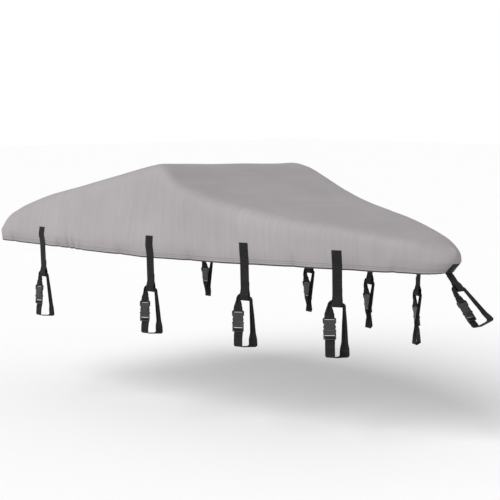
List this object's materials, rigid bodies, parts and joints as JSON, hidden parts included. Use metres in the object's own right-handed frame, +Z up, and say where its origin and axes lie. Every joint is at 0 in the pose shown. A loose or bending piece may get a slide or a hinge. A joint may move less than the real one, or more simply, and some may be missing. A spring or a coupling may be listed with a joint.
{
  "type": "fitted cloth cover with buckled tie-down straps",
  "caption": "Grey fitted cloth cover with a high crown, a tapered nose and an elastic hem, held down by black webbing straps with side-release buckles.",
  "frame": {"origin": "on the centre line, at the underside of the cloth at the crown, its highest line", "axes": "+X to the nose, +Y to the left side, +Z up"},
  "size_m": [4.7979, 1.9354, 1.3462],
  "materials": {
    "cover_cloth": "matt grey coated polyester",
    "black_webbing": "black ribbed webbing",
    "buckle_plastic": "satin black moulded plastic"
  },
  "bodies": {
    "root": {"cover_sheet": "cover_cloth", "sewn_tab_right_1": "black_webbing", "tie_down_right_1": "black_webbing", "buckle_socket_right_1": "buckle_plastic", "buckle_insert_right_1": "buckle_plastic", "sewn_tab_right_2": "black_webbing", "tie_down_right_2": "black_webbing", "buckle_socket_right_2": "buckle_plastic", "buckle_insert_right_2": "buckle_plastic", "sewn_tab_right_3": "black_webbing", "tie_down_right_3": "black_webbing", "buckle_socket_right_3": "buckle_plastic", "buckle_insert_right_3": "buckle_plastic", "sewn_tab_right_4": "black_webbing", "tie_down_right_4": "black_webbing", "buckle_socket_right_4": "buckle_plastic", "buckle_insert_right_4": "buckle_plastic", "sewn_tab_left_1": "black_webbing", "tie_down_left_1": "black_webbing", "buckle_socket_left_1": "buckle_plastic", "buckle_insert_left_1": "buckle_plastic", "sewn_tab_left_2": "black_webbing", "tie_down_left_2": "black_webbing", "buckle_socket_left_2": "buckle_plastic", "buckle_insert_left_2": "buckle_plastic", "sewn_tab_left_3": "black_webbing", "tie_down_left_3": "black_webbing", "buckle_socket_left_3": "buckle_plastic", "buckle_insert_left_3": "buckle_plastic", "sewn_tab_left_4": "black_webbing", "tie_down_left_4": "black_webbing", "buckle_socket_left_4": "buckle_plastic", "buckle_insert_left_4": "buckle_plastic", "sewn_tab_nose": "black_webbing", "tie_down_nose": "black_webbing", "buckle_socket_nose": "buckle_plastic", "buckle_insert_nose": "buckle_plastic"}
  },
  "joints": []
}
